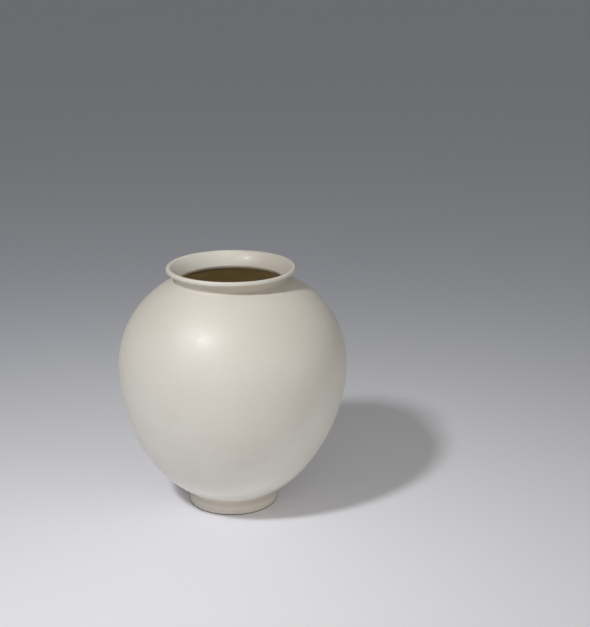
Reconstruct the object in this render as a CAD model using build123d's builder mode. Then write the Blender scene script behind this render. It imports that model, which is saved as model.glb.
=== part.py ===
from build123d import *
from math import asin, cos, degrees, radians, sin, sqrt
import os

# Driving dimensions, in millimetres and degrees. Z is up from the middle of the foot's resting plane.
height = 440.0
belly_radius = 202.5
belly_height = 262.0

# The outline is three tangent arcs: the shoulder above the belly, then the lower body, then the base.
shoulder_arc = 165.0
lower_arc = 300.0
lower_turn = 40.0
base_arc = 190.0
wall = 8.0

# Slip is the wet clay that lutes one thrown piece to the next.
slip = 1.0
seam_height = 225.0
groove_depth = 3.0
groove_width = 5.0
bead_reach = 2.5
bead_width = 8.0

# The base inside the foot is trimmed flat, and the floor above it is flat too.
underside = 16.5
floor_height = 27.0
floor_blend = 60.0

# The neck stands on a flat cut across the top of the shoulder.
neck_seat = 414.0
throat_radius = 92.0
throat_round = 6.0
neck_radius = 98.2
flare_arc = 60.0
lip_radius = 112.8
lip_width = 6.2
lip_height = 6.4
lip_overhang = 7.0
lip_round = 3.1
lip_inner_round = 1.6
lip_under_round = 0.8
neck_cove_rise = 3.6
neck_cove_hollow = 0.8

# The foot ring hugs the rounded bottom of the lower bowl.
foot_radius = 80.0
foot_top_radius = 77.3
foot_width = 13.5
foot_bore_radius = 62.0
foot_outer_chamfer = 0.8
foot_inner_chamfer = 1.2
cove_height = 17.0
cove_radius = 84.0
cove_hollow = 1.6

shoulder_centre = Vector(belly_radius - shoulder_arc, belly_height)
lower_centre = Vector(belly_radius - lower_arc, belly_height)
turn_direction = Vector(cos(radians(lower_turn)), -sin(radians(lower_turn)))
base_centre = lower_centre + turn_direction * (lower_arc - base_arc)


def arc_between(centre, radius, low, high):
    """An arc about a centre on the right, from the height low up to the height high."""
    start = degrees(asin((low - centre.Y) / radius))
    end = degrees(asin((high - centre.Y) / radius))
    return CenterArc(centre, radius, start, end - start)


def draw_outline(depth, low, high):
    """The body's outline at a depth below its outer face, between two heights. Gives its two end points."""
    turn_height = lower_centre.Y + turn_direction.Y * (lower_arc - depth)
    spans = [
        (base_centre, base_arc - depth, 0.0, turn_height),
        (lower_centre, lower_arc - depth, turn_height, belly_height),
        (shoulder_centre, shoulder_arc - depth, belly_height, height),
    ]
    arcs = []
    for centre, radius, bottom, top in spans:
        start = max(low, bottom)
        end = min(high, top)
        if start < end:
            arcs.append(arc_between(centre, radius, start, end))
    return arcs[0] @ 0, arcs[-1] @ 1


def height_on(centre, radius, reach, side):
    """The height where a circle is a reach away from the axis, at its top (side 1) or bottom (side -1)."""
    return centre.Y + side * sqrt(radius**2 - (reach - centre.X) ** 2)


def cove_between(edge, foot, hollow):
    """An arc from one edge to the other, hollowed towards the axis by a depth at its middle."""
    along = (edge - foot).normalized()
    middle = (edge + foot) / 2 + Vector(-along.Y, along.X) * hollow
    return ThreePointArc(edge, middle, foot)


def groove(level):
    """The V across the middle of a rim whose flat lands lie at a level, from the outside inwards."""
    middle_arc = lower_arc - wall / 2
    middle = lower_centre.X + sqrt(middle_arc**2 - (seam_height - lower_centre.Y) ** 2)
    return [
        (middle + groove_width / 2, level),
        (middle, level - groove_depth),
        (middle - groove_width / 2, level),
    ]


def rings_at(piece, level, near=0.1):
    """The circular edges of a piece that lie within a hair of a level."""
    return piece.edges().filter_by(GeomType.CIRCLE).filter_by_position(Axis.Z, level - near, level + near)


lower_rim = seam_height - slip / 2
upper_rim = seam_height + slip / 2
neck_base = neck_seat + slip
throat_bottom = height_on(shoulder_centre, shoulder_arc - wall, throat_radius, 1)

# Lower bowl: trimmed flat underneath, with a V groove in its rim.
with BuildPart() as lower_bowl:
    with BuildSketch(Plane.XZ):
        with BuildLine():
            trim_edge, outer_rim = draw_outline(0, underside, lower_rim)
            floor_edge, inner_rim = draw_outline(wall, floor_height, lower_rim)
            Polyline(outer_rim, *groove(lower_rim), inner_rim)
            Polyline(floor_edge, (0, floor_height), (0, underside), trim_edge)
        make_face()
    revolve(axis=Axis.Z)
    fillet(rings_at(lower_bowl, floor_height), floor_blend)
lower_bowl.part.label = "lower_bowl"

# Belly slip: fills the V between the bowls, and squeezes out as a bead on the inside.
with BuildPart() as belly_slip:
    with BuildSketch(Plane.XZ):
        with BuildLine():
            outer_low, outer_high = draw_outline(0, lower_rim, upper_rim)
            inner_high, bead_top = draw_outline(wall, upper_rim, seam_height + bead_width / 2)
            bead_bottom, inner_low = draw_outline(wall, seam_height - bead_width / 2, lower_rim)
            Polyline(outer_high, *groove(upper_rim), inner_high)
            Polyline(outer_low, *groove(lower_rim), inner_low)
            bead_crown = (bead_top + bead_bottom) / 2 - Vector(bead_reach, 0)
            ThreePointArc(bead_top, bead_crown, bead_bottom)
        make_face()
    revolve(axis=Axis.Z)
belly_slip.part.label = "belly_slip"

# Upper bowl: thrown as a bowl, turned over, and cut open at the top for the neck.
with BuildPart() as upper_bowl:
    with BuildSketch(Plane.XZ):
        with BuildLine():
            outer_rim, seat_edge = draw_outline(0, upper_rim, neck_seat)
            inner_rim, throat_edge = draw_outline(wall, upper_rim, throat_bottom)
            Polyline(outer_rim, *groove(upper_rim), inner_rim)
            Polyline(seat_edge, (throat_radius, neck_seat), throat_edge)
        make_face()
    revolve(axis=Axis.Z)
    fillet(rings_at(upper_bowl, throat_bottom), throat_round)
upper_bowl.part.label = "upper_bowl"

# The outside of the neck is one hollow arc, from its foot up to the underside of the lip.
lip_under = height - lip_height
neck_foot = Vector(neck_radius, neck_base)
neck_head = Vector(lip_radius - lip_overhang, lip_under)
flare_way = (neck_head - neck_foot).normalized()
flare_sagitta = sqrt(flare_arc**2 - (neck_head - neck_foot).length ** 2 / 4)
flare_centre = (neck_foot + neck_head) / 2 + Vector(flare_way.Y, -flare_way.X) * flare_sagitta
cove_heel_height = neck_base + neck_cove_rise
cove_heel_radius = flare_centre.X - sqrt(flare_arc**2 - (cove_heel_height - flare_centre.Y) ** 2)
cove_heel = Vector(cove_heel_radius, cove_heel_height)

# Neck slip: a flat ring between the cut shoulder and the neck, wiped into a small cove outside.
with BuildPart() as neck_slip:
    with BuildSketch(Plane.XZ):
        with BuildLine():
            Line((throat_radius, neck_seat), seat_edge)
            cove_between(cove_heel, seat_edge, neck_cove_hollow)
            RadiusArc(neck_foot, cove_heel, flare_arc)
            Polyline(neck_foot, (throat_radius, neck_base), (throat_radius, neck_seat))
        make_face()
    revolve(axis=Axis.Z)
neck_slip.part.label = "neck_slip"

# Neck: flares outwards, hollow on the outside, to a lip rolled over its edge.
with BuildPart() as neck_collar:
    with BuildSketch(Plane.XZ):
        with BuildLine():
            Line((throat_radius, neck_base), neck_foot)
            RadiusArc(neck_foot, neck_head, flare_arc)
            Polyline(
                neck_head,
                (lip_radius, lip_under),
                (lip_radius, height),
                (lip_radius - lip_width, height),
            )
            RadiusArc((lip_radius - lip_width, height), (throat_radius, neck_base), -flare_arc)
        make_face()
    revolve(axis=Axis.Z)
    fillet(rings_at(neck_collar, height).sort_by(SortBy.RADIUS)[-1], lip_round)
    fillet(rings_at(neck_collar, height).sort_by(SortBy.RADIUS)[0], lip_inner_round)
    fillet(rings_at(neck_collar, lip_under).sort_by(SortBy.RADIUS)[-1], lip_under_round)
neck_collar.part.label = "neck_collar"

# The foot's top is an arc about the same centre as the bowl's base, one thickness of slip below it.
foot_top = height_on(base_centre, base_arc + slip, foot_top_radius, -1)
foot_bore_top = height_on(base_centre, base_arc + slip, foot_bore_radius, -1)
slip_bore_top = height_on(base_centre, base_arc, foot_bore_radius, -1)
cove_top = height_on(base_centre, base_arc, cove_radius, -1)
foot_wall_top = Vector(foot_top_radius, foot_top)
foot_wall_bottom = Vector(foot_radius, foot_outer_chamfer)
cove_share = (cove_height - foot_outer_chamfer) / (foot_top - foot_outer_chamfer)
cove_foot = foot_wall_bottom + (foot_wall_top - foot_wall_bottom) * cove_share

# Foot slip: a layer under the bowl, wiped into a small cove round the outside.
with BuildPart() as foot_slip:
    with BuildSketch(Plane.XZ):
        with BuildLine():
            arc_between(base_centre, base_arc, slip_bore_top, cove_top)
            arc_between(base_centre, base_arc + slip, foot_bore_top, foot_top)
            Line((foot_bore_radius, foot_bore_top), (foot_bore_radius, slip_bore_top))
            Line(foot_wall_top, cove_foot)
            cove_between(Vector(cove_radius, cove_top), cove_foot, cove_hollow)
        make_face()
    revolve(axis=Axis.Z)
foot_slip.part.label = "foot_slip"

# Foot ring: the jar stands on its flat lower face.
with BuildPart() as foot_ring:
    with BuildSketch(Plane.XZ):
        with BuildLine():
            arc_between(base_centre, base_arc + slip, foot_bore_top, foot_top)
            foot_inner_radius = foot_radius - foot_width
            Polyline(
                foot_wall_top,
                foot_wall_bottom,
                (foot_radius - foot_outer_chamfer, 0),
                (foot_inner_radius + foot_inner_chamfer, 0),
                (foot_inner_radius, foot_inner_chamfer),
                (foot_bore_radius, foot_bore_top),
            )
        make_face()
    revolve(axis=Axis.Z)
foot_ring.part.label = "foot_ring"

os.makedirs("parts", exist_ok=True)
export_step(lower_bowl.part, "parts/lower_bowl.step")
export_step(belly_slip.part, "parts/belly_slip.step")
export_step(upper_bowl.part, "parts/upper_bowl.step")
export_step(neck_slip.part, "parts/neck_slip.step")
export_step(neck_collar.part, "parts/neck_collar.step")
export_step(foot_slip.part, "parts/foot_slip.step")
export_step(foot_ring.part, "parts/foot_ring.step")
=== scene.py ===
import bmesh
import bpy
from math import atan2, cos, hypot, pi, radians, sin, sqrt
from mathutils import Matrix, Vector, noise


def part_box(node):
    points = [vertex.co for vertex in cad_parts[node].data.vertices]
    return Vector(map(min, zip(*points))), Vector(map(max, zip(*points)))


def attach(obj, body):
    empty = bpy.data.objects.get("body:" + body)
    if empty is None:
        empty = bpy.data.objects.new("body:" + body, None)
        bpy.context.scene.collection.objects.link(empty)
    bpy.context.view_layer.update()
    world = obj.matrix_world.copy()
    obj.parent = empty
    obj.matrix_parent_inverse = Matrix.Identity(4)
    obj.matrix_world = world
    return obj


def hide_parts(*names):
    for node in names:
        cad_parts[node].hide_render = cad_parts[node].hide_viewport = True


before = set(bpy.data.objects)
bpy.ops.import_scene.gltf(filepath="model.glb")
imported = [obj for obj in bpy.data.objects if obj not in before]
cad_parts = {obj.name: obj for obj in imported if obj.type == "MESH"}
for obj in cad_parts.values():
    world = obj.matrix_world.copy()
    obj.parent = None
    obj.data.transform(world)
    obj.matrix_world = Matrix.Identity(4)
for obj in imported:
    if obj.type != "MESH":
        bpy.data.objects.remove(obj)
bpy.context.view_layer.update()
print("frame loaded,", len(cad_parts), "solids")

# all lengths are in metres
lengthGrain = 0.0022  # spacing of the rings along an arc
turnSteps = 192  # faces round the jar
hairline = 1e-5  # two places closer than this are one place
closeBy = 1e-4  # a place closer than this to a ring or a surface lies on it
sharpAngle = radians(38)  # edges that turn more than this stay crisp

# the round body: three tangent arcs of the solids' own sizes
body = {
    "height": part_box("neck_collar")[1][2],
    "bellyRadius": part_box("upper_bowl")[1][0],
    "bellyHeight": 0.262,
    "shoulderArc": 0.165,
    "lowerArc": 0.3,
    "lowerTurn": radians(40),
    "baseArc": 0.19,
    "wall": 0.008,
    "slip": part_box("neck_collar")[0][2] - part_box("upper_bowl")[1][2],
}
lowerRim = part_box("lower_bowl")[1][2]
upperRim = lowerRim + body["slip"]
shoulderCentre = Vector((body["bellyRadius"] - body["shoulderArc"], body["bellyHeight"]))
lowerCentre = Vector((body["bellyRadius"] - body["lowerArc"], body["bellyHeight"]))
turnWay = Vector((cos(body["lowerTurn"]), -sin(body["lowerTurn"])))
baseCentre = lowerCentre + turnWay * (body["lowerArc"] - body["baseArc"])


def arcReach(centre, radius, z, side=1):  # how far out an arc lies at a height, on its outer or inner side
    return centre.x + side * sqrt(radius**2 - (z - centre.y) ** 2)


def arcHeight(centre, radius, x, side):  # how high an arc lies at a distance from the axis, on top or below
    return centre.y + side * sqrt(radius**2 - (x - centre.x) ** 2)


def arcCentre(start, end, radius):  # centre of the arc that joins two places, hollow on the outside
    chord = end - start
    outward = Vector((chord.y, -chord.x)).normalized()
    return (start + end) / 2 + outward * sqrt(radius**2 - chord.length_squared / 4)


def coveCentre(start, end, hollow):  # centre of the arc that is hollowed by a depth at its middle
    return arcCentre(start, end, ((end - start).length_squared / 4 + hollow**2) / (2 * hollow))


def bodySpans(depth):  # base, lower body and shoulder at a depth below the surface: centre, radius, top
    turnTop = lowerCentre.y + turnWay.y * (body["lowerArc"] - depth)
    return [
        (baseCentre, body["baseArc"] - depth, turnTop),
        (lowerCentre, body["lowerArc"] - depth, body["bellyHeight"]),
        (shoulderCentre, body["shoulderArc"] - depth, body["height"]),
    ]


def bodyRadius(z, depth=0.0):  # the body's radius at a height
    for centre, radius, top in bodySpans(depth):
        if z <= top:
            return arcReach(centre, radius, z)


class Outline:  # half a section on the XZ plane, grown from one vertex and then turned about Z
    def __init__(self, x, z):
        self.mesh = bmesh.new()
        self.first = self.tip = self.mesh.verts.new((x, 0, z))

    def run(self, x, z):  # a straight run
        self.tip = bmesh.ops.extrude_vert_indiv(self.mesh, verts=[self.tip])["verts"][0]
        self.tip.co = (x, 0, z)

    def bend(self, centre, x, z):  # an arc about a centre, round to the direction of a place
        here = Vector((self.tip.co.x, self.tip.co.z)) - centre
        there = Vector((x, z)) - centre
        angle = atan2(here.x * there.y - here.y * there.x, here.dot(there))
        steps = max(2, round(abs(angle) * here.length / lengthGrain))
        middle = (centre.x, 0, centre.y)
        swept = bmesh.ops.spin(
            self.mesh, geom=[self.tip], cent=middle, axis=(0, -1, 0), angle=angle, steps=steps
        )
        self.tip = [part for part in swept["geom_last"] if isinstance(part, bmesh.types.BMVert)][0]

    def follow(self, depth, z):  # along the body's own arcs, up or down to a height
        rising = z > self.tip.co.z
        bottom = 0.0
        legs = []
        for centre, radius, top in bodySpans(depth):
            stop = min(top, z) if rising else max(bottom, z)
            crossed = bottom < max(z, self.tip.co.z) and top > min(z, self.tip.co.z)
            if crossed and abs(stop - self.tip.co.z) > hairline:
                legs.append((centre, arcReach(centre, radius, stop), stop))
            bottom = top
        for leg in legs if rising else reversed(legs):
            self.bend(*leg)

    def turn(self):  # closes the section and sweeps it all the way round
        mesh = self.mesh
        mesh.edges.new((self.tip, self.first))
        bmesh.ops.spin(
            mesh, geom=mesh.verts[:] + mesh.edges[:], cent=(0, 0, 0), axis=(0, 0, 1), angle=2 * pi,
            steps=turnSteps, use_merge=True,
        )
        bmesh.ops.remove_doubles(mesh, verts=mesh.verts[:], dist=hairline)
        bmesh.ops.recalc_face_normals(mesh, faces=mesh.faces[:])
        return mesh


def roundRing(mesh, x, z, radius, segments):  # rounds the ring of edges through a place of the outline
    ring = [
        edge for edge in mesh.edges
        if all(hypot(hypot(v.co.x, v.co.y) - x, v.co.z - z) < closeBy for v in edge.verts)
    ]
    bmesh.ops.bevel(
        mesh, geom=ring, offset=radius, segments=segments, profile=0.5, affect="EDGES", material=-1
    )


# what the potter's hand leaves: an axis that strays sideways (height, stray), a dip in the lip, soft waves
hand = {
    "lean": [(0.0, -0.0030), (0.1, -0.0025), (0.26, 0.0005), (0.38, 0.0008), (0.44, -0.0015)],
    "lipDip": 0.0017,
    "lipDipAt": radians(-30),
    "lipDipFocus": 3,
    "lipStart": 0.395,
    "outOfRound": 0.0009,
    "outOfRoundFull": 0.1,  # the height where it has grown to its full size
    "waveHeight": 0.00016,
    "waveFull": 0.05,
    "waveLength": 0.034,
    "waveDrift": 0.9,
}


def leanAt(z):  # how far the axis strays along X at a height, eased from stop to stop
    stops = hand["lean"]
    for (lowZ, low), (highZ, high) in zip(stops, stops[1:]):
        if z <= highZ:
            share = max(0.0, (z - lowZ) / (highZ - lowZ))
            return low + (high - low) * share * share * (3 - 2 * share)
    return stops[-1][1]


def shapeByHand(mesh):  # the same soft stray for every piece, so that joined faces still meet
    drift = hand["waveDrift"]
    for v in mesh.verts:
        x, y, z = v.co
        r = hypot(x, y)
        if r > hairline:
            wave = noise.noise(Vector((z / hand["waveLength"], x / r * drift, y / r * drift)))
            grown = r + hand["waveHeight"] * wave * min(1.0, z / hand["waveFull"])
            grown += hand["outOfRound"] * x * y / r**2 * min(1.0, z / hand["outOfRoundFull"])
            x, y = x * grown / r, y * grown / r
        if z > hand["lipStart"]:
            rise = ((z - hand["lipStart"]) / (body["height"] - hand["lipStart"])) ** 2
            facing = max(0.0, cos(atan2(y, x) - hand["lipDipAt"]))
            z -= rise * hand["lipDip"] * facing ** hand["lipDipFocus"]
        v.co = (x + leanAt(v.co.z), y, z)


def bringIn(name, data):  # puts a mesh, a lamp or a camera in the scene
    thing = bpy.data.objects.new(name, data)
    bpy.context.scene.collection.objects.link(thing)
    return thing


def standUp(name, mesh, coats):  # puts a finished bmesh with its coats in the scene
    data = bpy.data.meshes.new(name)
    mesh.to_mesh(data)
    mesh.free()
    for coat in coats:
        data.materials.append(coat)
    return bringIn(name, data)


def finishPiece(mesh, node, coats, coatOf=None):  # the turned mesh takes the solid's place
    if coatOf:
        for face in mesh.faces:
            face.material_index = coats.index(coatOf(face))
    shapeByHand(mesh)
    for face in mesh.faces:
        face.smooth = True
    for edge in mesh.edges:
        edge.smooth = edge.calc_face_angle(0.0) < sharpAngle
    piece = standUp(node + "_turned", mesh, coats)
    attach(piece, "root")
    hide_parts(node)
    print(node, "turned,", len(piece.data.polygons), "faces")


class Value:  # wraps a socket, so that a sum on it adds its Math nodes
    def __init__(self, finish, node, output):
        self.finish, self.node = finish, node
        self.socket = node.outputs[output] if node.outputs else None

    def out(self, output):  # another output of the same node
        return Value(self.finish, self.node, output)

    def __add__(self, other):
        return self.finish.math("ADD", self, other)

    def __sub__(self, other):
        return self.finish.math("SUBTRACT", self, other)

    def __rsub__(self, other):
        return self.finish.math("SUBTRACT", other, self)

    def __mul__(self, other):
        return self.finish.math("MULTIPLY", self, other)

    def __truediv__(self, other):
        return self.finish.math("DIVIDE", self, other)

    def __rtruediv__(self, other):
        return self.finish.math("DIVIDE", other, self)

    def __lt__(self, other):
        return self.finish.math("LESS_THAN", self, other)

    __radd__, __rmul__ = __add__, __mul__


class Finish:  # a node tree that nodes are added to
    def __init__(self, tree):
        self.tree = tree
        tree.nodes.clear()

    def add(self, kind, settings=None, values=None, output=0):
        node = self.tree.nodes.new(kind)
        for name, setting in (settings or {}).items():
            setattr(node, name, setting)
        for name, value in (values or {}).items():
            if isinstance(value, Value):
                self.tree.links.new(value.socket, node.inputs[name])
            else:
                node.inputs[name].default_value = value
        return Value(self, node, output)

    def math(self, operation, *values):
        return self.add("ShaderNodeMath", {"operation": operation}, dict(enumerate(values)))

    def part(self, place, axis):  # one coordinate of a place
        return self.add("ShaderNodeSeparateXYZ", {}, {0: place}, axis)

    def reach(self, place):  # its distance from the jar's axis
        x, y = self.part(place, "X"), self.part(place, "Y")
        return self.math("SQRT", x * x + y * y)

    def noise(self, place, scale, detail=2.0, roughness=0.5):
        sizes = {"Vector": place, "Scale": scale, "Detail": detail, "Roughness": roughness}
        return self.add("ShaderNodeTexNoise", {}, sizes)

    def stretched(self, place, scale, turn=(0.0, 0.0, 0.0)):
        return self.add("ShaderNodeMapping", {}, {"Vector": place, "Scale": scale, "Rotation": turn})

    def between(self, value, span, toLow=0.0, toHigh=1.0):  # a smooth step from a span's low end to its high
        limits = {"Value": value, "From Min": span[0], "From Max": span[1], "To Min": toLow, "To Max": toHigh}
        return self.add("ShaderNodeMapRange", {"interpolation_type": "SMOOTHSTEP"}, limits)

    def below(self, value, span):  # 1 under a span and 0 over it
        return self.between(value, span, 1.0, 0.0)

    def blend(self, share, first, second):  # a colour between two colours
        values = {"Factor": share, 6: first, 7: second}
        return self.add("ShaderNodeMix", {"data_type": "RGBA"}, values, output=2)

    def bumped(self, height, distance, strength):
        return self.add("ShaderNodeBump", {}, {"Height": height, "Distance": distance, "Strength": strength})


def surface(name, shading):  # a material whose shader's sockets come from one function
    material = bpy.data.materials.new(name)
    material.use_nodes = True
    finish = Finish(material.node_tree)
    place = finish.add("ShaderNodeTexCoord", output="Object")
    shader = finish.add("ShaderNodeBsdfPrincipled", {}, shading(finish, place))
    finish.add("ShaderNodeOutputMaterial", {}, {"Surface": shader})
    return material


# a zone of colour fades in over a span of heights, or of places along X where its name says so
milk = {
    "pale": (0.739, 0.711, 0.643, 1.0),
    "deep": (0.709, 0.678, 0.607, 1.0),
    "cloudScale": 9.0,
    "mottleScale": 140.0,
    "cloudShare": 0.7,
    "mottleShare": 0.3,
    "deepShare": (0.36, 0.64),
    "speck": (0.45, 0.38, 0.30, 1.0),
    "speckScale": 170.0,
    "speckSize": (0.055, 0.132),
    "speckChance": 0.03,
    "speckStrength": 0.4,
    "low": (0.90, 0.872, 0.80, 1.0),  # painted bounce light: paler low on the body, reaching higher on the right side
    "paintedBounceSpan": (0.022, 0.095),
    "paintedBounceSlant": 0.32,
    "dim": (0.66, 0.62, 0.55, 1.0),  # painted shade on the left shoulder
    "paintedShoulderShadeSpan": (0.29, 0.39),
    "paintedShoulderShadeAlongX": (-0.14, -0.04),
    "paintedHollowShade": (0.605, 0.545, 0.46, 1.0),  # painted shade in the hollow of the neck under the lip, warm, weaker on the left
    "paintedHollowShadeBottom": (0.4137, 0.4155),
    "paintedHollowShadeTop": (0.4325, 0.4345),
    "paintedHollowShadeReach": (0.103, 0.107),
    "paintedHollowShadeAlongX": (-0.07, -0.01),
    "paintedHollowShadeLeast": 0.3,
    "roughness": 0.5,
    "mottleRoughness": 0.16,
    "cloudRoughness": 0.1,
    "specular": 0.85,
    "coat": 0.032,
    "lowCoat": 1.0,
    "coatSpan": (0.05, 0.17),
    "coatRoughness": 0.2,
}
rings = {  # fine throwing rings, clearest in patches on the lower body
    "scale": (9.0, 9.0, 130.0),
    "tilt": (0.0, radians(0.6), 0.0),
    "depth": 0.5,
    "patchDepth": 9.0,
    "patchScale": 14.0,
    "patchShare": (0.36, 0.56),
    "patchTop": (0.17, 0.21),
    "mottleDepth": 0.4,
    "bumpDepth": 0.00025,
    "bumpStrength": 0.35,
}


def glazeCoat(finish, place, pale, deep):  # clouds, mottling, iron specks and a satin coat, glossier low down
    z = finish.part(place, "Z")
    cloud = finish.noise(place, milk["cloudScale"], detail=3.0)
    mottle = finish.noise(place, milk["mottleScale"], detail=3.0, roughness=0.6)
    tone = cloud * milk["cloudShare"] + mottle * milk["mottleShare"]
    colour = finish.blend(finish.between(tone, milk["deepShare"]), pale, deep)
    cell = finish.add("ShaderNodeTexVoronoi", {}, {"Vector": place, "Scale": milk["speckScale"]}, "Distance")
    chance = finish.add("ShaderNodeTexWhiteNoise", {}, {"Vector": cell.out("Position")}, "Value")
    speck = finish.below(cell, milk["speckSize"]) * (chance < milk["speckChance"])
    fine = finish.noise(finish.stretched(place, rings["scale"], rings["tilt"]), 1.0, detail=3.0)
    patch = finish.between(finish.noise(place, rings["patchScale"]), rings["patchShare"])
    patch = patch * finish.below(z, rings["patchTop"])
    relief = fine * (patch * rings["patchDepth"] + rings["depth"]) + mottle * rings["mottleDepth"]
    rough = milk["roughness"] + (mottle - 0.5) * milk["mottleRoughness"]
    return {
        "Base Color": finish.blend(speck * milk["speckStrength"], colour, milk["speck"]),
        "Roughness": rough + (cloud - 0.5) * milk["cloudRoughness"],
        "Specular IOR Level": milk["specular"],
        "Coat Weight": finish.between(z, milk["coatSpan"], milk["lowCoat"], milk["coat"]),
        "Coat Roughness": milk["coatRoughness"],
        "Normal": finish.bumped(relief, rings["bumpDepth"], rings["bumpStrength"]),
    }


def milkGlazeShading(finish, place):  # painted bounce light low down, painted shade on the left shoulder and in the hollow under the lip
    coat = glazeCoat(finish, place, milk["pale"], milk["deep"])
    x, z = finish.part(place, "X"), finish.part(place, "Z")
    # painted bounce light: the glaze is painted paler low down, higher up towards the right
    slanted = z - finish.math("MAXIMUM", x, 0.0) * milk["paintedBounceSlant"]
    colour = finish.blend(finish.below(slanted, milk["paintedBounceSpan"]), coat["Base Color"], milk["low"])
    # painted shade: the left shoulder is painted darker
    paintedShoulderShade = finish.between(z, milk["paintedShoulderShadeSpan"]) * finish.below(x, milk["paintedShoulderShadeAlongX"])
    colour = finish.blend(paintedShoulderShade, colour, milk["dim"])
    # painted shade under the lip: the neck's hollow is painted darker and warmer, less so on the left towards
    # the lamp
    level = finish.between(z, milk["paintedHollowShadeBottom"]) * finish.below(z, milk["paintedHollowShadeTop"])
    hollow = level * finish.below(finish.reach(place), milk["paintedHollowShadeReach"])
    paintedHollowShade = hollow * finish.between(x, milk["paintedHollowShadeAlongX"], milk["paintedHollowShadeLeast"], 1.0)
    coat["Base Color"] = finish.blend(paintedHollowShade, colour, milk["paintedHollowShade"])
    return coat


inside = {  # painted shade inside: warm straw and brown up to the throat for the dark of the jar, then milk glaze up to the lip
    # painted light: paler than the outer milk glaze, to light the left of the inner neck
    "pale": (0.80, 0.77, 0.695, 1.0),
    "deep": (0.765, 0.732, 0.655, 1.0),
    "paintedInnerShade": (0.57, 0.52, 0.455, 1.0),  # painted shade on the right of the inner neck
    "paintedInnerShadeAlongX": (-0.03, 0.04),
    "paintedInsideShade": (0.79, 0.69, 0.46, 1.0),
    "paintedDarkInsideShade": (0.73, 0.61, 0.39, 1.0),
    "washScale": 22.0,
    "washShare": (0.35, 0.65),
    "paintedThroatShade": (0.30, 0.225, 0.13, 1.0),
    "paintedThroatShadeBottom": (0.403, 0.408),
    "milkBottom": (0.4104, 0.4126),
    "milkWander": 0.001,
    "coat": 0.05,
    "coatRoughness": 0.13,
}


def innerGlazeShading(finish, place):  # painted warm shade inside, darkest at the throat, milk glaze above it
    coat = glazeCoat(finish, place, inside["pale"], inside["deep"])
    x, z = finish.part(place, "X"), finish.part(place, "Z")
    wash = finish.noise(place, inside["washScale"], detail=3.0)
    # painted shade inside the jar: warm straw deep down, brown at the throat's rolled edge
    paintedInsideShade = finish.blend(finish.between(wash, inside["washShare"]), inside["paintedInsideShade"], inside["paintedDarkInsideShade"])
    paintedInsideShade = finish.blend(finish.between(z, inside["paintedThroatShadeBottom"]), paintedInsideShade, inside["paintedThroatShade"])
    # painted light on the left of the inner neck and painted shade on its right
    upper = finish.blend(finish.between(x, inside["paintedInnerShadeAlongX"]), coat["Base Color"], inside["paintedInnerShade"])
    milky = finish.between(z + (wash - 0.5) * inside["milkWander"], inside["milkBottom"])
    coat["Base Color"] = finish.blend(milky, paintedInsideShade, upper)
    coat["Coat Weight"] = inside["coat"]
    coat["Coat Roughness"] = inside["coatRoughness"]
    return coat


wiped = {  # the foot's glaze, painted paler as painted light where the foot stands in the belly's shade, with painted shade at its top; and the clay of the edge that it is wiped off, painted near black as a painted contact shadow
    # painted light: paler than the body's glaze, where the foot stands in the belly's shade
    "pale": (0.80, 0.752, 0.668, 1.0),
    "deep": (0.765, 0.71, 0.62, 1.0),
    # painted shade at the foot's top and in the cove under the belly
    "paintedHollowShade": (0.67, 0.60, 0.51, 1.0),
    "paintedHollowShadeBottom": (0.0125, 0.0165),
    # bare clay at the resting edge, painted near black as a painted contact shadow
    "clay": (0.062, 0.045, 0.031, 1.0),
    "paleShadowedClay": (0.105, 0.08, 0.057, 1.0),
    "gritScale": 900.0,
    "gritShare": (0.4, 0.62),
    "bareTop": (0.0011, 0.002),
    "bareScale": 60.0,
    "bareWander": 0.0006,
    "roughness": 0.46,
    "bareRoughness": 0.4,
    "coat": 0.1,
    "turnedScale": (5.0, 5.0, 900.0),
    "turnedDepth": 0.6,
    "bumpDepth": 0.0003,
    "bumpStrength": 0.4,
}


def footGlazeShading(finish, place):  # turned rings, painted light and shade on the foot, and the glaze wiped off the resting edge onto clay painted dark as a contact shadow
    coat = glazeCoat(finish, place, wiped["pale"], wiped["deep"])
    z = finish.part(place, "Z")
    grit = finish.noise(place, wiped["gritScale"])
    # the bare edge's clay, painted near black as a painted contact shadow
    clay = finish.blend(finish.between(grit, wiped["gritShare"]), wiped["clay"], wiped["paleShadowedClay"])
    wander = (finish.noise(place, wiped["bareScale"]) - 0.5) * wiped["bareWander"]
    bare = finish.below(z + wander, wiped["bareTop"])
    # painted shade: the foot's top and the cove are painted darker
    paintedHollowShade = finish.blend(finish.between(z, wiped["paintedHollowShadeBottom"]), coat["Base Color"], wiped["paintedHollowShade"])
    turned = finish.noise(finish.stretched(place, wiped["turnedScale"]), 1.0)
    relief = turned * wiped["turnedDepth"] + grit * bare
    coat["Base Color"] = finish.blend(bare, paintedHollowShade, clay)
    coat["Roughness"] = wiped["roughness"] + bare * wiped["bareRoughness"]
    coat["Coat Weight"] = wiped["coat"]
    coat["Normal"] = finish.bumped(relief, wiped["bumpDepth"], wiped["bumpStrength"])
    return coat


jointClay = {
    "dark": (0.60, 0.55, 0.47, 1.0),
    "pale": (0.68, 0.63, 0.55, 1.0),
    "gritScale": 500.0,
    "gritShare": (0.35, 0.65),
    "roughness": 0.82,
    "gritRoughness": 0.2,
    "bumpDepth": 0.0002,
    "bumpStrength": 0.4,
}


def bareClayShading(finish, place):  # unglazed porcelain inside the joints
    grit = finish.noise(place, jointClay["gritScale"], detail=3.0)
    pale = finish.between(grit, jointClay["gritShare"])
    return {
        "Base Color": finish.blend(pale, jointClay["dark"], jointClay["pale"]),
        "Roughness": jointClay["roughness"] + (grit - 0.5) * jointClay["gritRoughness"],
        "Normal": finish.bumped(grit, jointClay["bumpDepth"], jointClay["bumpStrength"]),
    }


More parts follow.
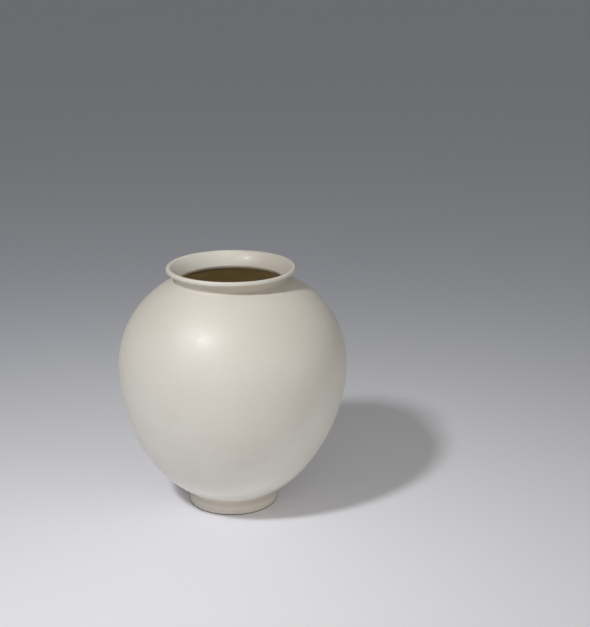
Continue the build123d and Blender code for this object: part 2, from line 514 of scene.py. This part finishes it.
milkGlaze = surface("milk_glaze", milkGlazeShading)
innerGlaze = surface("inner_glaze", innerGlazeShading)
footGlaze = surface("foot_glaze", footGlazeShading)
bareClay = surface("bare_clay", bareClayShading)
bowlCoats = [milkGlaze, innerGlaze, bareClay]
neckCoats = [milkGlaze, innerGlaze]
print("glazes mixed")


# the belly seam: a V groove luted with slip, and the bead that squeezes out inside
seam = {
    "height": (lowerRim + upperRim) / 2,
    "grooveDepth": 0.003,
    "grooveWidth": 0.005,
    "beadReach": 0.0025,
    "beadWidth": 0.008,
}


def crossRim(outline, z, depth):  # along a rim with its V, to the face that lies at a depth
    middle = bodyRadius(seam["height"], body["wall"] / 2)
    side = 1 if depth else -1
    outline.run(middle + side * seam["grooveWidth"] / 2, z)
    outline.run(middle, z - seam["grooveDepth"])
    outline.run(middle - side * seam["grooveWidth"] / 2, z)
    outline.run(bodyRadius(z, depth), z)


def coatOnBowl(face):  # milk glaze outside, inner glaze inside, bare clay in the rim
    place = face.calc_center_median()
    radius = hypot(place.x, place.y)
    level = abs(place.z - seam["height"]) < seam["grooveDepth"] + body["slip"]
    if level and bodyRadius(place.z, body["wall"]) + hairline < radius < bodyRadius(place.z) - closeBy:
        return bareClay
    inward = face.normal.dot(Vector((place.x, place.y, place.z - seam["height"]))) < 0
    return innerGlaze if inward else milkGlaze


lowerBowl = {"underside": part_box("lower_bowl")[0][2], "floor": 0.027, "floorBlend": 0.06}


def throwLowerBowl():  # its floor runs into the wall in one wide round
    wall, underside, floor = body["wall"], lowerBowl["underside"], lowerBowl["floor"]
    blend = lowerBowl["floorBlend"]
    innerArc = body["baseArc"] - wall
    blendCentre = Vector((arcReach(baseCentre, innerArc - blend, floor + blend), floor + blend))
    onWall = baseCentre + (blendCentre - baseCentre).normalized() * innerArc
    outline = Outline(bodyRadius(underside), underside)
    outline.follow(0, lowerRim)
    crossRim(outline, lowerRim, wall)
    outline.follow(wall, onWall.y)
    outline.bend(blendCentre, blendCentre.x, floor)
    outline.run(0, floor)
    outline.run(0, underside)
    finishPiece(outline.turn(), "lower_bowl", bowlCoats, coatOnBowl)


upperBowl = {
    "seat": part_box("upper_bowl")[1][2],
    "throatRadius": 0.092,
    "throatRound": (0.006, 8),  # radius and steps of a rounded edge
}


def throwUpperBowl():
    wall, seat, throat = body["wall"], upperBowl["seat"], upperBowl["throatRadius"]
    throatEdge = arcHeight(shoulderCentre, body["shoulderArc"] - wall, throat, 1)
    outline = Outline(bodyRadius(upperRim), upperRim)
    outline.follow(0, seat)
    outline.run(throat, seat)
    outline.run(throat, throatEdge)
    outline.follow(wall, upperRim)
    crossRim(outline, upperRim, 0)
    mesh = outline.turn()
    roundRing(mesh, throat, throatEdge, *upperBowl["throatRound"])
    finishPiece(mesh, "upper_bowl", bowlCoats, coatOnBowl)


def luteBelly():
    wall, half = body["wall"], seam["beadWidth"] / 2
    beadLow, beadHigh = seam["height"] - half, seam["height"] + half
    low = Vector((bodyRadius(beadLow, wall), beadLow))
    high = Vector((bodyRadius(beadHigh, wall), beadHigh))
    outline = Outline(bodyRadius(lowerRim), lowerRim)
    outline.follow(0, upperRim)
    crossRim(outline, upperRim, wall)
    outline.follow(wall, beadHigh)
    outline.bend(coveCentre(low, high, seam["beadReach"]), *low)
    outline.follow(wall, lowerRim)
    crossRim(outline, lowerRim, 0)
    finishPiece(outline.turn(), "belly_slip", bowlCoats, coatOnBowl)


neck = {
    "base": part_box("neck_collar")[0][2],
    "radius": 0.0982,
    "flareArc": 0.06,
    "lipRadius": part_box("neck_collar")[1][0],
    "lipWidth": 0.0062,
    "lipHeight": 0.0064,
    "lipOverhang": 0.007,
    "lipRound": (0.0031, 6),
    "lipInnerRound": (0.0016, 5),
    "lipUnderRound": (0.0008, 3),
    "lipTuck": (0.0008, 3),
    "coveTop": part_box("neck_slip")[1][2],
    "coveHollow": 0.0008,
}
neckFoot = Vector((neck["radius"], neck["base"]))
neckHead = Vector((neck["lipRadius"] - neck["lipOverhang"], body["height"] - neck["lipHeight"]))
flareCentre = arcCentre(neckFoot, neckHead, neck["flareArc"])


def coatOnNeck(face):  # inner glaze on the side that faces the axis
    place = face.calc_center_median()
    return innerGlaze if face.normal.x * place.x + face.normal.y * place.y < 0 else milkGlaze


def raiseNeck():
    lip, top, throat = neck["lipRadius"], body["height"], upperBowl["throatRadius"]
    throatFoot, innerHead = Vector((throat, neck["base"])), Vector((lip - neck["lipWidth"], top))
    outline = Outline(*throatFoot)
    outline.run(*neckFoot)
    outline.bend(flareCentre, *neckHead)
    outline.run(lip, neckHead.y)
    outline.run(lip, top)
    outline.run(*innerHead)
    outline.bend(arcCentre(throatFoot, innerHead, neck["flareArc"]), *throatFoot)
    mesh = outline.turn()
    roundRing(mesh, lip, top, *neck["lipRound"])
    roundRing(mesh, innerHead.x, top, *neck["lipInnerRound"])
    roundRing(mesh, lip, neckHead.y, *neck["lipUnderRound"])
    roundRing(mesh, *neckHead, *neck["lipTuck"])
    finishPiece(mesh, "neck_collar", neckCoats, coatOnNeck)


def luteNeck():  # the slip is wiped into a small cove outside
    seat, throat, top = upperBowl["seat"], upperBowl["throatRadius"], neck["coveTop"]
    toe = Vector((bodyRadius(seat), seat))
    heel = Vector((arcReach(flareCentre, neck["flareArc"], top, -1), top))
    outline = Outline(throat, seat)
    outline.run(*toe)
    outline.bend(coveCentre(toe, heel, neck["coveHollow"]), *heel)
    outline.bend(flareCentre, *neckFoot)
    outline.run(throat, neck["base"])
    finishPiece(outline.turn(), "neck_slip", neckCoats, coatOnNeck)


foot = {
    "radius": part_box("foot_ring")[1][0],
    "topRadius": 0.0773,
    "width": 0.0135,
    "boreRadius": 0.062,
    "outerChamfer": 0.0008,
    "chamferRound": (0.0004, 3),
    "innerChamfer": 0.0012,
    "coveHeight": 0.017,
    "coveRadius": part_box("foot_slip")[1][0],
    "coveHollow": 0.0016,
}


def underBase(x, drop):  # a place on the base's underside, or a drop below it
    return Vector((x, arcHeight(baseCentre, body["baseArc"] + drop, x, -1)))


footTop = underBase(foot["topRadius"], body["slip"])  # the two ends of the foot's outer wall
footToe = Vector((foot["radius"], foot["outerChamfer"]))


def turnFoot():
    radius, innerRadius = foot["radius"], foot["radius"] - foot["width"]
    outline = Outline(*footTop)
    outline.run(*footToe)
    outline.run(radius - foot["outerChamfer"], 0)
    outline.run(innerRadius + foot["innerChamfer"], 0)
    outline.run(innerRadius, foot["innerChamfer"])
    outline.run(*underBase(foot["boreRadius"], body["slip"]))
    outline.bend(baseCentre, *footTop)
    mesh = outline.turn()
    roundRing(mesh, *footToe, *foot["chamferRound"])
    finishPiece(mesh, "foot_ring", [footGlaze])


def luteFoot():
    coveFoot = footToe.lerp(footTop, (foot["coveHeight"] - footToe.y) / (footTop.y - footToe.y))
    coveEdge = underBase(foot["coveRadius"], 0)
    outline = Outline(*underBase(foot["boreRadius"], 0))
    outline.bend(baseCentre, *coveEdge)
    outline.bend(coveCentre(coveFoot, coveEdge, foot["coveHollow"]), *coveFoot)
    outline.run(*footTop)
    outline.bend(baseCentre, *underBase(foot["boreRadius"], body["slip"]))
    finishPiece(outline.turn(), "foot_slip", [footGlaze])


throwLowerBowl()
luteBelly()
throwUpperBowl()
luteNeck()
raiseNeck()
luteFoot()
turnFoot()
print("jar turned")


# the studio: a wide pale floor, a lamp up to the left, two weak wide ones and a dim room
studio = {
    "floorReach": 60.0,
    "floorSides": 128,
    "floorRoughness": 0.9,
    "floorSpecular": 0.1,
    "grainScale": 260.0,
    "grainRoughness": 0.1,
    # painted light: the floor is painted paler in a pool round the front of the jar
    "paintedPoolFloor": (0.926, 0.927, 0.979),
    "paintedPoolReach": 1.15,
    "paintedPoolCentre": (0.055, -0.3, 0.0),
    "horizon": (0.144, 0.147, 0.158),
    "overhead": (0.38, 0.366, 0.335),
    "lampAim": (0.0, 0.0, 0.22),
    "lamps": [  # name, place, width, watts, colour
        ("key_lamp", (-0.910, -1.222, 1.950), 0.26, 26.9, (1.0, 1.0, 1.0)),
        ("fill_lamp", (2.2, -1.6, 0.9), 2.2, 11.6, (1.0, 0.97, 0.87)),
        ("front_lamp", (-0.3, -2.9, 1.0), 1.4, 6.2, (1.0, 0.98, 0.93)),
    ],
}
camera = {
    "place": (0.1108, -2.1085, 0.9988),
    "dip": radians(17.048),
    "focalPixels": 1250.0,
    "imagePixels": 627.0,
    "sensorWidth": 36.0,
}


def floorShading(finish, place):  # painted light: paler in a pool round the jar, and far off as dim as the room behind it
    # this dark, the far floor is as bright as the horizon under the room's light
    farFloor = [2 * low / (low + high) for low, high in zip(studio["horizon"], studio["overhead"])]
    offset = [-part for part in studio["paintedPoolCentre"]]
    centred = finish.add("ShaderNodeMapping", {}, {"Vector": place, "Location": offset})
    spread = finish.reach(centred) / studio["paintedPoolReach"]
    paintedPool = finish.math("EXPONENT", 0.0 - spread * spread)
    grain = finish.noise(place, studio["grainScale"])
    return {
        "Base Color": finish.blend(paintedPool, (*farFloor, 1.0), (*studio["paintedPoolFloor"], 1.0)),
        "Roughness": studio["floorRoughness"] + (grain - 0.5) * studio["grainRoughness"],
        "Specular IOR Level": studio["floorSpecular"],
    }


def layFloor():
    mesh = bmesh.new()
    bmesh.ops.create_circle(mesh, cap_ends=True, segments=studio["floorSides"], radius=studio["floorReach"])
    bmesh.ops.recalc_face_normals(mesh, faces=mesh.faces[:])
    floor = standUp("floor", mesh, [surface("studio_floor", floorShading)])


def lightRoom():
    world = bpy.data.worlds.new("room")
    bpy.context.scene.world = world
    world.use_nodes = True
    finish = Finish(world.node_tree)
    way = finish.add("ShaderNodeTexCoord", output="Generated")
    up = finish.math("MAXIMUM", finish.part(way, "Z"), 0.0)
    sky = finish.blend(up * up, (*studio["horizon"], 1.0), (*studio["overhead"], 1.0))
    glow = finish.add("ShaderNodeBackground", {}, {"Color": sky, "Strength": 1.0})
    finish.add("ShaderNodeOutputWorld", {}, {"Surface": glow})
    for name, place, width, watts, colour in studio["lamps"]:
        data = bpy.data.lights.new(name, "AREA")
        data.shape = "DISK"
        data.size = width
        data.energy = watts
        data.color = colour
        lamp = bringIn(name, data)
        lamp.location = place
        lamp.rotation_euler = (Vector(studio["lampAim"]) - lamp.location).to_track_quat("-Z", "Y").to_euler()


def setCamera():
    data = bpy.data.cameras.new("camera")
    data.sensor_width = camera["sensorWidth"]
    data.lens = camera["focalPixels"] * camera["sensorWidth"] / camera["imagePixels"]
    data.clip_end = 2 * studio["floorReach"]
    eye = bringIn("camera", data)
    eye.location = camera["place"]
    eye.rotation_euler = (pi / 2 - camera["dip"], 0.0, 0.0)
    bpy.context.scene.camera = eye


layFloor()
lightRoom()
setCamera()
bpy.context.scene.view_settings.view_transform = "Standard"
print("studio lit")
